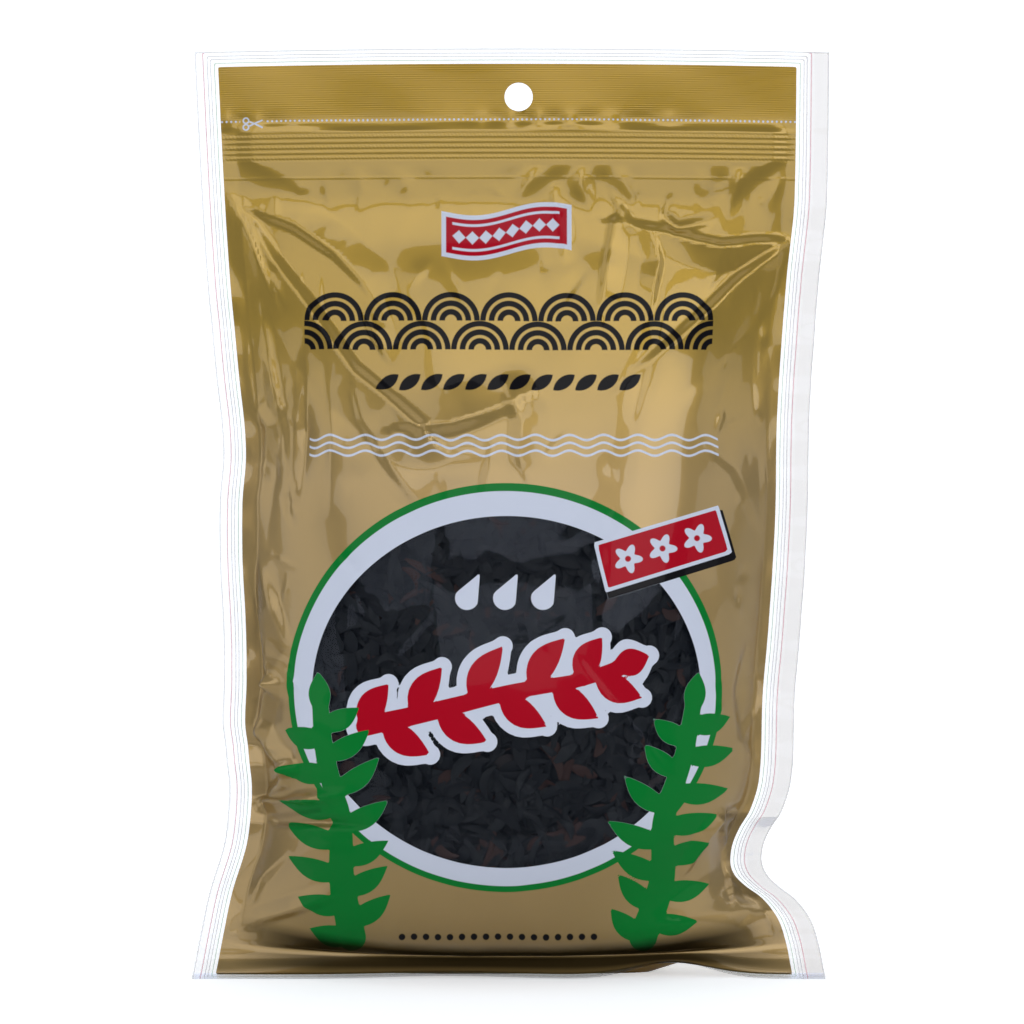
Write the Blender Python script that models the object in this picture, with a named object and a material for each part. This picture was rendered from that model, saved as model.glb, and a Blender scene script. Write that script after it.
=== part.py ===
"""A standing zip-top pouch of dried cut wakame: two heat-sealed webs, the zip between them and the cut
seaweed inside. Metres, +Z up, the printed front towards -Y."""

import math

import bmesh
import bpy
import numpy as np

MM = 0.001

# The flat web, in millimetres: s runs across it from the left edge, w along it from the bottom edge
WEB_WIDTH = 183.0
WEB_HEIGHT = 285.0
LEFT_SEAL = 11.0
RIGHT_SEAL = 12.0
BOTTOM_SEAL = 11.6
WALL = 0.25
SEAL_GAP = 0.55

# Where the two side seams stand, as (w, y, z)
SEAM_LINE = (
    (0.0, -17.0, 0.35),
    (8.0, -10.7, 5.3),
    (BOTTOM_SEAL, -8.0, 8.0),
    (20.0, -5.0, 15.6),
    (32.0, -1.6, 27.0),
    (46.0, 0.6, 40.4),
    (70.0, 1.6, 63.6),
    (120.0, 2.0, 110.4),
    (180.0, 2.0, 166.3),
    (WEB_HEIGHT - 42.0, 2.0, 225.0),
    (WEB_HEIGHT, 2.0, 267.0),
)

# The web's line down the middle of the front and of the back, as (w, y, z)
FRONT_LINE = (
    (0.0, -17.0, 0.35),
    (8.0, -10.3, 5.2),
    (BOTTOM_SEAL, -7.5, 7.6),
    (17.0, -12.3, 8.6),
    (24.0, -20.5, 11.8),
    (32.0, -25.8, 18.0),
    (44.0, -28.9, 30.0),
    (62.0, -29.8, 48.0),
    (85.0, -29.7, 71.0),
    (108.0, -28.6, 93.5),
    (131.0, -25.8, 116.0),
    (160.0, -20.4, 144.0),
    (191.0, -13.0, 174.4),
    (218.0, -5.4, 201.0),
    (232.0, -0.6, 214.6),
    (WEB_HEIGHT - 42.0, 1.6, 225.0),
    (WEB_HEIGHT, 2.0, 267.0),
)
BACK_LINE = (
    (0.0, -17.0, 0.35),
    (8.0, -10.3, 5.2),
    (BOTTOM_SEAL, -7.5, 7.6),
    (16.0, -8.2, 0.6),
    (21.0, -4.8, -6.0),
    (30.0, 5.5, -10.0),
    (38.0, 16.4, -6.0),
    (46.0, 23.2, 6.0),
    (56.0, 26.6, 19.0),
    (75.0, 29.6, 40.0),
    (95.0, 29.9, 62.5),
    (120.0, 29.4, 90.0),
    (145.0, 26.7, 117.0),
    (172.0, 21.6, 146.0),
    (199.0, 15.0, 175.6),
    (222.0, 8.4, 201.0),
    (233.0, 4.6, 213.6),
    (WEB_HEIGHT - 42.0, 2.4, 225.0),
    (WEB_HEIGHT, 2.0, 267.0),
)

# The outer edges as the pouch stands, as (z, x)
LEFT_EDGE = (
    (0.0, -92.0),
    (11.0, -90.0),
    (23.0, -87.4),
    (38.0, -82.4),
    (54.0, -81.6),
    (76.0, -82.6),
    (102.0, -83.3),
    (123.0, -84.4),
    (136.0, -84.3),
    (151.0, -83.2),
    (176.0, -85.3),
    (202.0, -87.6),
    (225.0, -89.0),
    (267.0, -90.9),
)
RIGHT_EDGE = (
    (0.0, 91.3),
    (10.0, 89.2),
    (20.5, 84.0),
    (27.0, 77.4),
    (34.0, 74.2),
    (43.0, 78.6),
    (56.0, 82.3),
    (80.0, 83.0),
    (102.0, 84.7),
    (132.0, 86.4),
    (161.0, 86.8),
    (202.0, 89.4),
    (225.0, 91.6),
    (267.0, 92.0),
)

# The section across the pouch is 1 - |x|**BELLY between the side seals
BELLY = 2.6
CROWD = 0.1

# The main dents of the front web as it stands: x0, z0, x1, z1, width, depth
DENTS = (
    (71.0, 35.0, 57.0, 50.0, 8.0, 5.5),
    (70.0, 34.0, 62.0, 25.0, 6.0, 3.5),
    (-73.0, 52.0, -52.0, 48.0, 5.5, 3.0),
    (-70.0, 74.0, -66.0, 62.0, 5.0, 2.2),
    (-74.0, 192.0, -60.0, 138.0, 7.0, 2.4),
    (-79.0, 221.0, -44.0, 196.0, 6.0, 1.6),
    (79.0, 212.0, 58.0, 195.0, 6.0, 1.8),
)

DENT_LIMIT = 0.6

# The bottom seal lifts off the floor right of the middle: x, half width and height
STRIP_LIFTS = ((47.0, 15.0, 5.0), (-18.0, 26.0, 1.0))

# The hang hole
HOLE_X = 2.5
HOLE_Z = 254.2
HOLE_RADIUS = 4.1
HOLE_SIDES = 32

# The zip: its band on the web, then the two strips between the webs
ZIP_BAND = (234.3, 236.4, 243.8, 245.9)
ZIP_SWELL = 0.95
ZIP_ENDS = 3.0
ZIP_LOW = 237.3
ZIP_HIGH = 242.9
ZIP_INSET = 16.0
ZIP_FLANGE = 0.35
ZIP_DEPTH = 0.8
ZIP_PLANE = 2.0

# The zip's sections: the bead on its stem, and the channel whose lips close round it
BEAD_NECK = 0.75
BEAD_BARB = 0.8
BEAD_TIP = 1.05
BEAD_STEM_HALF = 0.22
BEAD_HALF = 0.5
BEAD_NOSE_HALF = 0.3
CHANNEL_FLANGE = 0.245
CHANNEL_LIP = 0.62
CHANNEL_INNER = 0.7
CHANNEL_MOUTH_HALF = 0.5
CHANNEL_ROOM_HALF = 0.85
CHANNEL_LIP_HALF = 1.15
CHANNEL_HALF = 1.3

# The films' grid: where each run of columns and of rows ends on the web, and its steps
ZIP_FROM_W = WEB_HEIGHT - 42.0
FOLD_W = BOTTOM_SEAL + 1.2
COLUMN_RUNS = (
    (LEFT_SEAL, 2),
    (LEFT_SEAL + ZIP_ENDS, 1),
    (WEB_WIDTH - RIGHT_SEAL - ZIP_ENDS, 20),
    (WEB_WIDTH - RIGHT_SEAL, 1),
    (WEB_WIDTH, 2),
)
ROW_RUNS = ((BOTTOM_SEAL, 3), (FOLD_W, 1), (24.0, 3), (60.0, 6), (205.0, 15), (ZIP_FROM_W, 5))

# The wakame: a core that keeps clear of the webs, and the flakes that stand out of it
CORE_FROM_W = 33.0
CORE_TO_W = 186.0
CORE_SIDE = 0.9
CORE_CLEAR = 3.0
CORE_ACROSS = 15
CORE_ALONG = 18
CORE_ROUGH = 0.7
CORE_TOP_ROUGH = (-9.0, 3.0)
FLAKES = 84
FLAKE_SPREAD = 0.8
FLAKE_MARGIN_LOW = 9.0
FLAKE_MARGIN_HIGH = 12.0
FLAKE_CURL = 0.5
FLAKE_LONG = (7.0, 15.0)
FLAKE_WIDE = (2.4, 4.6)
FLAKE_THICK = 0.8
FLAKE_RISE = (0.9, 1.7)
FLAKE_ROOT = -1.0
SEED = 22


def along(table, at, column):
    """A smooth line through the table's column: a cubic between each two rows, its slopes the mean of
    the two sides' and never past three times the smaller."""
    rows = np.array(table)
    x, y = rows[:, 0], rows[:, column]
    step = np.diff(y) / np.diff(x)
    slope = np.concatenate([step[:1], (step[1:] + step[:-1]) / 2, step[-1:]])
    turn = np.concatenate([[False], step[1:] * step[:-1] <= 0, [False]])
    limit = 3 * np.minimum(np.abs(np.append(step, step[-1])), np.abs(np.append(step[0], step)))
    slope = np.where(turn, 0, np.clip(slope, -limit, limit))
    at = np.clip(at, x[0], x[-1])
    i = np.clip(np.searchsorted(x, at) - 1, 0, len(x) - 2)
    span = x[i + 1] - x[i]
    t = (at - x[i]) / span
    rise = t * t * (3 - 2 * t)
    return (
        y[i] * (1 - rise)
        + y[i + 1] * rise
        + slope[i] * span * t * (1 - t) ** 2
        - slope[i + 1] * span * t * t * (1 - t)
    )


def dent(x, z, row):
    """How far the web is pushed in at (x, z) by one dent: deepest along its line, falling to nothing
    one width away on either side and past the line's inner end."""
    x0, z0, x1, z1, width, depth = row
    run_x, run_z = x1 - x0, z1 - z0
    length = math.hypot(run_x, run_z)
    t = np.clip(((x - x0) * run_x + (z - z0) * run_z) / length**2, 0, 1)
    away = np.hypot(x - x0 - t * run_x, z - z0 - t * run_z) / width
    return depth * np.clip(1 - away, 0, None) ** 1.4 * (1 - 0.7 * t)


def web(front, s, w):
    """Points of a web's middle surface in millimetres. The side seam and the middle line are joined
    across by the belly section, the webs keep the seal gap, and the floor and the dents push in."""
    side = 1.0 if front else -1.0
    seam = [along(SEAM_LINE, w, column) for column in (1, 2)]
    middle = [along(FRONT_LINE if front else BACK_LINE, w, column) for column in (1, 2)]
    half = (WEB_WIDTH - LEFT_SEAL - RIGHT_SEAL) / 2
    across = np.clip((s - LEFT_SEAL - half) / half, -1, 1)
    belly = 1 - np.abs(across) ** BELLY
    y = seam[0] + belly * (middle[0] - seam[0])
    z = seam[1] + belly * (middle[1] - seam[1])
    ahead, behind = w + 0.5, w - 0.5
    run_y = along(SEAM_LINE, ahead, 1) - along(SEAM_LINE, behind, 1)
    run_z = along(SEAM_LINE, ahead, 2) - along(SEAM_LINE, behind, 2)
    length = np.hypot(run_y, run_z)
    left = along(LEFT_EDGE, seam[1], 1)
    right = along(RIGHT_EDGE, seam[1], 1)
    inner_left, inner_right = left + LEFT_SEAL, right - RIGHT_SEAL
    depth = np.abs(middle[0] - seam[0]) / 30
    spread = across + CROWD * depth * across * (1 - across**2)
    x = (inner_left + inner_right) / 2 + spread * (inner_right - inner_left) / 2
    x = x + np.minimum(s - LEFT_SEAL, 0) + np.maximum(s - (WEB_WIDTH - RIGHT_SEAL), 0)
    swell = np.clip(np.interp(seam[1], ZIP_BAND, (0, 1, 1, 0)), 0, 1)
    swell = swell * np.clip((1 - np.abs(across)) * half / ZIP_ENDS, 0, 1)
    apart = SEAL_GAP / 2 + ZIP_SWELL * swell
    y = y - side * apart * run_z / length
    z = z + side * apart * run_y / length
    for centre, width, height in STRIP_LIFTS:
        lift = height * np.exp(-(((x - centre) / width) ** 2))
        z = z + lift * np.clip(1 - w / BOTTOM_SEAL, 0, 1)
    if front:
        pushed = sum(dent(x, z, row) for row in DENTS)
        y = y + np.minimum(pushed, DENT_LIMIT * belly * np.abs(middle[0] - seam[0]))
    return np.stack([x, y, np.maximum(z, WALL / 2)], axis=-1)


def grid_normals(points):
    across = np.gradient(points, axis=1)
    up = np.gradient(points, axis=0)
    normals = np.cross(across, up)
    return normals / np.linalg.norm(normals, axis=-1, keepdims=True)


def shell_mesh(name, nearer, farther):
    """One closed mesh from two grids of points, the first towards -Y, rows upwards and columns to +X."""
    rows, columns = nearer.shape[:2]
    index = np.arange(rows * columns).reshape(rows, columns)
    low = np.stack([index[:-1, :-1], index[:-1, 1:], index[1:, 1:]], axis=-1).reshape(-1, 3)
    high = np.stack([index[:-1, :-1], index[1:, 1:], index[1:, :-1]], axis=-1).reshape(-1, 3)
    skin = np.concatenate([low, high])
    rim = np.concatenate([index[0], index[1:, -1], index[-1, -2::-1], index[-2:0:-1, 0]])
    step = np.roll(rim, -1)
    offset = rows * columns
    walls = np.concatenate([
        np.stack([step, rim, rim + offset], axis=-1),
        np.stack([step, rim + offset, step + offset], axis=-1),
    ])
    faces = np.concatenate([skin, skin[:, ::-1] + offset, walls])
    points = np.concatenate([nearer.reshape(-1, 3), farther.reshape(-1, 3)]) * MM
    mesh = bpy.data.meshes.new(name)
    mesh.from_pydata(points.tolist(), [], faces.tolist())
    mesh.update()
    return mesh


def put(name, mesh, colour, roughness):
    node = bpy.data.objects.new(name, mesh)
    bpy.context.scene.collection.objects.link(node)
    material = bpy.data.materials.new(name)
    material.use_nodes = True
    shader = material.node_tree.nodes["Principled BSDF"]
    shader.inputs["Base Color"].default_value = (*colour, 1)
    shader.inputs["Roughness"].default_value = roughness
    mesh.materials.append(material)
    return node


def combined(node, tool, operation, self_crossing=False):
    """The node's mesh with the tool cut away or added, and the tool gone."""
    modifier = node.modifiers.new(operation.lower(), "BOOLEAN")
    modifier.operation = operation
    modifier.solver = "EXACT"
    modifier.use_self = self_crossing
    modifier.object = tool
    bpy.context.view_layer.update()
    graph = bpy.context.evaluated_depsgraph_get()
    mesh = bpy.data.meshes.new_from_object(node.evaluated_get(graph))
    node.modifiers.clear()
    node.data = mesh
    bpy.data.objects.remove(tool)


def keep_largest(node):
    """Drops the small closed pockets that crossing flakes shut in."""
    shape = bmesh.new()
    shape.from_mesh(node.data)
    left, islands = set(shape.verts), []
    while left:
        island, front = set(), [left.pop()]
        while front:
            vertex = front.pop()
            island.add(vertex)
            near = {edge.other_vert(vertex) for edge in vertex.link_edges} & left
            left -= near
            front.extend(near)
        islands.append(island)
    largest = max(islands, key=len)
    bmesh.ops.delete(shape, geom=[v for v in shape.verts if v not in largest], context="VERTS")
    shape.to_mesh(node.data)
    shape.free()


def stations(*runs):
    """Places along a line, from (end, steps) pairs that start at zero."""
    found, start = [0.0], 0.0
    for end, steps in runs:
        found.extend(np.linspace(start, end, steps + 1)[1:])
        start = end
    return np.array(found)


def zip_z_to_w(z):
    return z + WEB_HEIGHT - SEAM_LINE[-1][2]


def film(name, front, colour):
    """A web as a closed sheet, with the hang hole cut through it."""
    band = [(zip_z_to_w(z), 1) for z in ZIP_BAND]
    across, along_web = np.meshgrid(stations(*COLUMN_RUNS), stations(*ROW_RUNS, *band, (WEB_HEIGHT, 3)))
    points = web(front, across, along_web)
    reach = grid_normals(points) * WALL / 2
    mesh = shell_mesh(name, points + reach, points - reach)
    node = put(name, mesh, colour, 0.15)
    bpy.ops.mesh.primitive_cylinder_add(
        vertices=HOLE_SIDES,
        radius=HOLE_RADIUS * MM,
        depth=40 * MM,
        location=(HOLE_X * MM, 0, HOLE_Z * MM),
        rotation=(math.pi / 2, 0, 0),
    )
    combined(node, bpy.context.object, "DIFFERENCE")
    return node


def extruded(name, outline, start, end):
    """A closed outline of (y, z) points, in millimetres, carried from x = start to x = end."""
    count = len(outline)
    points = [(x * MM, y * MM, z * MM) for x in (start, end) for y, z in outline]
    sides = [(i, (i + 1) % count, (i + 1) % count + count, i + count) for i in range(count)]
    mesh = bpy.data.meshes.new(name)
    mesh.from_pydata(points, [], [*sides, tuple(range(count))[::-1], tuple(range(count, 2 * count))])
    shape = bmesh.new()
    shape.from_mesh(mesh)
    bmesh.ops.recalc_face_normals(shape, faces=shape.faces)
    shape.to_mesh(mesh)
    shape.free()
    return mesh


def zip_strips():
    """The bead strip and the channel strip that closes round its head, each on its own flange."""
    front, back = ZIP_PLANE - ZIP_DEPTH, ZIP_PLANE + ZIP_DEPTH
    middle = (ZIP_LOW + ZIP_HIGH) / 2
    stem = front + ZIP_FLANGE
    rib = (
        (front, ZIP_LOW),
        (stem, ZIP_LOW),
        (stem, middle - BEAD_STEM_HALF),
        (front + BEAD_NECK, middle - BEAD_STEM_HALF),
        (front + BEAD_BARB, middle - BEAD_HALF),
        (front + BEAD_TIP, middle - BEAD_NOSE_HALF),
        (front + BEAD_TIP, middle + BEAD_NOSE_HALF),
        (front + BEAD_BARB, middle + BEAD_HALF),
        (front + BEAD_NECK, middle + BEAD_STEM_HALF),
        (stem, middle + BEAD_STEM_HALF),
        (stem, ZIP_HIGH),
        (front, ZIP_HIGH),
    )
    root, lip, inner = back - CHANNEL_FLANGE, front + CHANNEL_LIP, front + CHANNEL_INNER
    groove = (
        (back, ZIP_LOW),
        (back, ZIP_HIGH),
        (root, ZIP_HIGH),
        (root, middle + CHANNEL_HALF),
        (lip, middle + CHANNEL_LIP_HALF),
        (lip, middle + CHANNEL_MOUTH_HALF),
        (inner, middle + CHANNEL_ROOM_HALF),
        (root, middle + CHANNEL_ROOM_HALF),
        (root, middle - CHANNEL_ROOM_HALF),
        (inner, middle - CHANNEL_ROOM_HALF),
        (lip, middle - CHANNEL_MOUTH_HALF),
        (lip, middle - CHANNEL_LIP_HALF),
        (root, middle - CHANNEL_HALF),
        (root, ZIP_LOW),
    )
    ends = (LEFT_EDGE[-2][1] + ZIP_INSET, RIGHT_EDGE[-2][1] - ZIP_INSET)
    put("zip_rib", extruded("zip_rib", rib, *ends), (0.85, 0.86, 0.84), 0.3)
    put("zip_groove", extruded("zip_groove", groove, *ends), (0.85, 0.86, 0.84), 0.3)


def inside(front, across, w, rise):
    """A point of the filling in millimetres: on the core's skin at rise 0, and above it towards the web."""
    half = (WEB_WIDTH - LEFT_SEAL - RIGHT_SEAL) / 2
    s = LEFT_SEAL + half + across * half
    near, far = web(front, s, w), web(not front, s, w)
    span = far - near
    return near + span * ((CORE_CLEAR - rise) / np.linalg.norm(span, axis=-1))[..., None]


def wakame():
    random = np.random.default_rng(SEED)
    across, w = np.meshgrid(
        np.linspace(-CORE_SIDE, CORE_SIDE, CORE_ACROSS + 1),
        np.linspace(CORE_FROM_W, CORE_TO_W, CORE_ALONG + 1),
    )
    rough = random.uniform(-CORE_ROUGH, CORE_ROUGH, (2, *across.shape))
    top = w >= CORE_TO_W
    w = w + top * random.uniform(*CORE_TOP_ROUGH, across.shape)
    outer = inside(True, across, w, rough[0])
    inner = inside(False, across, w, rough[1])
    node = put("wakame", shell_mesh("wakame", outer, inner), (0.02, 0.035, 0.02), 0.5)
    half = (WEB_WIDTH - LEFT_SEAL - RIGHT_SEAL) / 2
    points, faces = [], []
    for number in range(FLAKES):
        front = number % 3 != 0
        centre = (
            random.uniform(-FLAKE_SPREAD, FLAKE_SPREAD) * half,
            random.uniform(CORE_FROM_W + FLAKE_MARGIN_LOW, CORE_TO_W - FLAKE_MARGIN_HIGH),
        )
        length, width = random.uniform(*FLAKE_LONG), random.uniform(*FLAKE_WIDE)
        turn, rise = random.uniform(0, math.pi), random.uniform(*FLAKE_RISE)
        curl = random.uniform(-FLAKE_CURL, FLAKE_CURL)
        first = len(points)
        for step, height in ((-0.5, FLAKE_ROOT), (0.0, rise), (0.5, FLAKE_ROOT)):
            for edge, lower in ((-0.5, 0), (0.5, 0), (0.5, FLAKE_THICK), (-0.5, FLAKE_THICK)):
                angle = turn + curl * step
                a = centre[0] + step * length * math.cos(angle) - edge * width * math.sin(angle)
                b = centre[1] + step * length * math.sin(angle) + edge * width * math.cos(angle)
                point = inside(front, np.array(a / half), np.array(b), np.array(height - lower))
                points.append((point * MM).tolist())
        for ring in (first, first + 4):
            faces.extend((ring + i, ring + (i + 1) % 4, ring + 4 + (i + 1) % 4, ring + 4 + i) for i in range(4))
        faces.extend(((first + 3, first + 2, first + 1, first), (first + 8, first + 9, first + 10, first + 11)))
    mesh = bpy.data.meshes.new("flakes")
    mesh.from_pydata(points, [], faces)
    shape = bmesh.new()
    shape.from_mesh(mesh)
    bmesh.ops.recalc_face_normals(shape, faces=shape.faces)
    shape.to_mesh(mesh)
    shape.free()
    flakes = bpy.data.objects.new("flakes", mesh)
    bpy.context.scene.collection.objects.link(flakes)
    combined(node, flakes, "UNION", self_crossing=True)
    keep_largest(node)


for existing in list(bpy.data.objects):
    bpy.data.objects.remove(existing)
film("front_film", True, (0.36, 0.24, 0.06))
film("back_film", False, (0.36, 0.24, 0.06))
zip_strips()
wakame()
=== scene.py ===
"""Looks of the standing pouch of dried cut wakame: fine webs with their folds and print, curled flakes
behind the clear window, soft studio light. Lengths are millimetres until they reach a mesh."""

import math

import bpy
import numpy as np
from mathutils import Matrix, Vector


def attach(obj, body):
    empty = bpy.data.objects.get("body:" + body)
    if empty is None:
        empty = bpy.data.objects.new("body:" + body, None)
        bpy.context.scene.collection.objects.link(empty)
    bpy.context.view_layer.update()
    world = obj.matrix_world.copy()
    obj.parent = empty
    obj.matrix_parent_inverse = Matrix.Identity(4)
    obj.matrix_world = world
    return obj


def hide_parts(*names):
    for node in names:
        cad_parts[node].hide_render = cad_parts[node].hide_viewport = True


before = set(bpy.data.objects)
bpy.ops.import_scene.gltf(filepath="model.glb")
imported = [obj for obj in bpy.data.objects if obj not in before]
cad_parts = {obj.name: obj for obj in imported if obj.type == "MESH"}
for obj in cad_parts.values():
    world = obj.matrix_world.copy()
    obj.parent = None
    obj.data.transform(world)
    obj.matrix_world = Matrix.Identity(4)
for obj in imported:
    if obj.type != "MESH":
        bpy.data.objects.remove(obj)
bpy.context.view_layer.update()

MM = 0.001

# The flat web: s runs across it from the left edge, w along it from the bottom edge
WEB_WIDTH = 183
WEB_HEIGHT = 285
LEFT_SEAL = 11
RIGHT_SEAL = 12
BOTTOM_SEAL = 11.6
SEAL_GAP = 0.55

# Where the two side seams stand, as (w, y, z)
SEAM_LINE = (
    (0, -15, 0.35), (3.6, -11.8, 1.2), (8, -9, 4.8), (BOTTOM_SEAL, -8, 8.4), (20, -5, 15.6),
    (32, -1.6, 27), (46, 0.6, 40.4), (70, 1.6, 63.6), (120, 2, 110.4), (180, 2, 166.3),
    (WEB_HEIGHT - 42, 2, 225), (WEB_HEIGHT, 2, 267),
)

# The web's line down the middle of the front and of the back, as (w, y, z)
FRONT_LINE = (
    (0, -15.5, 0.35), (3.6, -12.6, 1.2), (8, -9.6, 3.4), (BOTTOM_SEAL, -8.2, 5.6), (15, -11.6, 6.1),
    (19.5, -16.4, 8), (26, -22.4, 12.8), (33, -26.2, 19), (44, -28.9, 30), (62, -29.8, 48),
    (85, -29.7, 71), (108, -28.6, 93.5), (131, -25.8, 116), (160, -20.4, 144), (191, -13, 174.4),
    (218, -5.4, 201), (232, -0.6, 214.6), (WEB_HEIGHT - 42, 1.6, 225), (WEB_HEIGHT, 2, 267),
)
BACK_LINE = (
    (0, -15.5, 0.35), (3.6, -12.6, 1.2), (8, -9.6, 3.4), (BOTTOM_SEAL, -8.2, 5.4), (15, -7.4, 1.6),
    (21, -3.6, -4), (30, 5.5, -8), (38, 16.4, -6), (46, 23.2, 6), (56, 26.6, 19), (75, 29.6, 40),
    (95, 29.9, 62.5), (120, 29.4, 90), (145, 26.7, 117), (172, 21.6, 146), (199, 15, 175.6),
    (222, 8.4, 201), (233, 4.6, 213.6), (WEB_HEIGHT - 42, 2.4, 225), (WEB_HEIGHT, 2, 267),
)

# The outer edges as the pouch stands, as (z, x)
LEFT_EDGE = (
    (0, -92), (11, -90), (23, -87.6), (38, -83.2), (54, -82), (64, -82.9), (73, -83.8), (86, -83.3),
    (102, -83.5), (123, -84.4), (136, -84.3), (151, -83.2), (176, -85.3), (202, -87.6), (225, -89),
    (267, -90.9),
)
RIGHT_EDGE = (
    (0, 91.3), (10, 89.4), (16.5, 87), (21.5, 82.8), (24.5, 78.4), (27.5, 75.2), (31.6, 73.8),
    (36.5, 74.4), (41.5, 76.4), (47, 79.4), (56, 82), (80, 83), (102, 84.7), (132, 86.4),
    (161, 86.8), (202, 89.4), (225, 91.6), (267, 92),
)

# How round the belly is, how its points crowd outwards, and where the bottom strip lifts off the floor:
# middle, width and height
BELLY = 2.6
CROWD = 0.1
STRIP_LIFTS = ((47, 15, 5), (-18, 26, 1))

# Where a side seam is folded back: height, half height, x where it starts and is full, and depth
WAISTS = (
    (32, 13.5, 58, 72, 8.5),
    (51, 7.5, -52, -69, 2.6),
    (66, 5.5, -58, -69, 1.3),
    (86, 8, 62, 74, 0.8),
)

# The hang hole's middle and radius
HOLE_X = 2.5
HOLE_Z = 254.2
HOLE_RADIUS = 4.1

# The zip: heights over which the webs swell round it and its ribs show, the swelling, how far from the
# seams it starts at two heights, how much w exceeds the height there, and the ribs' height and pitch
ZIP_BAND = (190, 235.2, 243.8, 246.6)
ZIP_RIBS = (235.2, 236.4, 242.8, 243.8)
ZIP_SWELL = 0.95
ZIP_ENDS = ((226, 22), (235.2, 4))
ZIP_RISE = 18
RIB_HEIGHT = 0.04
RIB_PITCH = 1.5
TOP_BOW = 1.1

# The camera, in millimetres, and how the view maps onto a square picture, in pixels
VIEW_DISTANCE = 1300
VIEW_RISE = math.radians(4.5)
VIEW_MIDDLE = (0.58, 0, 134.3)
PIXEL = 0.29
PICTURE = 1024
SENSOR = 36


def unit(values):
    """Values held between 0 and 1."""
    return np.clip(values, 0, 1)


def along(table, at, column):
    """A smooth line through the table's column: a cubic between each two rows, its slopes the mean of
    the two sides' and never past three times the smaller."""
    rows = np.array(table)
    x, y = rows[:, 0], rows[:, column]
    step = np.diff(y) / np.diff(x)
    slope = np.concatenate([step[:1], (step[1:] + step[:-1]) / 2, step[-1:]])
    turn = np.concatenate([[False], step[1:] * step[:-1] <= 0, [False]])
    limit = 3 * np.minimum(np.abs(np.append(step, step[-1])), np.abs(np.append(step[0], step)))
    slope = np.where(turn, 0, np.clip(slope, -limit, limit))
    at = np.clip(at, x[0], x[-1])
    i = np.clip(np.searchsorted(x, at) - 1, 0, len(x) - 2)
    span = x[i + 1] - x[i]
    t = (at - x[i]) / span
    rise = t * t * (3 - 2 * t)
    return (
        y[i] * (1 - rise)
        + y[i + 1] * rise
        + slope[i] * span * t * (1 - t) ** 2
        - slope[i + 1] * span * t * t * (1 - t)
    )


def web(front, s, w):
    """Points of a web without its folds, and how far the belly stands out there from 0 to 1. The side
    seam and the middle line are joined across by 1 - |x|**BELLY, and the webs stand apart by the seals'
    gap, wider round the zip. At the waists both are folded back together in a sharp V, the upper edge
    bows up as a parabola, and the side seals ripple by two sines along them."""
    side = 1 if front else -1
    seam = [along(SEAM_LINE, w, column) for column in (1, 2)]
    middle = [along(FRONT_LINE if front else BACK_LINE, w, column) for column in (1, 2)]
    half = (WEB_WIDTH - LEFT_SEAL - RIGHT_SEAL) / 2
    across = np.clip((s - LEFT_SEAL - half) / half, -1, 1)
    belly = 1 - np.abs(across) ** BELLY
    y = seam[0] + belly * (middle[0] - seam[0])
    z = seam[1] + belly * (middle[1] - seam[1])
    run_y = along(SEAM_LINE, w + 0.5, 1) - along(SEAM_LINE, w - 0.5, 1)
    run_z = along(SEAM_LINE, w + 0.5, 2) - along(SEAM_LINE, w - 0.5, 2)
    length = np.hypot(run_y, run_z)
    inner_left = along(LEFT_EDGE, seam[1], 1) + LEFT_SEAL
    inner_right = along(RIGHT_EDGE, seam[1], 1) - RIGHT_SEAL
    depth = np.abs(middle[0] - seam[0]) / 30
    spread = across + CROWD * depth * across * (1 - across**2)
    x = (inner_left + inner_right) / 2 + spread * (inner_right - inner_left) / 2
    x = x + np.minimum(s - LEFT_SEAL, 0) + np.maximum(s - (WEB_WIDTH - RIGHT_SEAL), 0)
    ends = np.interp(seam[1], *np.transpose(ZIP_ENDS))
    swell = np.interp(seam[1], ZIP_BAND, (0, 1, 1, 0)) * unit((1 - np.abs(across)) * half / ends)
    apart = SEAL_GAP / 2 + ZIP_SWELL * swell
    y = y - side * apart * run_z / length
    z = z + side * apart * run_y / length
    for centre, width, height in STRIP_LIFTS:
        lift = height * np.exp(-(((x - centre) / width) ** 2))
        z = z + lift * unit(1 - w / BOTTOM_SEAL)
    for centre, half_height, begins, full, fold_back in WAISTS:
        there = unit((x - begins) / (full - begins))
        y = y + fold_back * there * unit(1 - np.abs(z - centre) / half_height)
    z = z + TOP_BOW * (1 - (2 * s / WEB_WIDTH - 1) ** 2) * unit((w - 190) / 90)
    band = unit(np.maximum(LEFT_SEAL - s, s - WEB_WIDTH + RIGHT_SEAL) / LEFT_SEAL)
    ripple = 0.5 * np.sin(w / 5.1 + 1.4 * np.sin(w / 17) + s / 40) + 0.25 * np.sin(w / 2.3 + 0.7)
    y = y + ripple * band * unit((w - 16) / 12) * unit((WEB_HEIGHT - 40 - w) / 20)
    return np.stack([x, y, z], axis=-1), belly


def as_seen(points):
    """Where points fall in the camera's picture, in pixels from its top left corner: the offset across
    and up the view, each divided by the distance along it."""
    back = np.array([0, -math.cos(VIEW_RISE), math.sin(VIEW_RISE)])
    up = np.array([0, math.sin(VIEW_RISE), math.cos(VIEW_RISE)])
    offset = points - np.array(VIEW_MIDDLE)
    scale = VIEW_DISTANCE / (VIEW_DISTANCE - offset @ back) / PIXEL
    return PICTURE / 2 + offset[..., 0] * scale, PICTURE / 2 - (offset @ up) * scale


def normals_of(points):
    """Unit normals of a grid: what its two directions' differences span."""
    normals = np.cross(np.gradient(points, axis=1), np.gradient(points, axis=0))
    return normals / np.linalg.norm(normals, axis=-1, keepdims=True)


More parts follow.
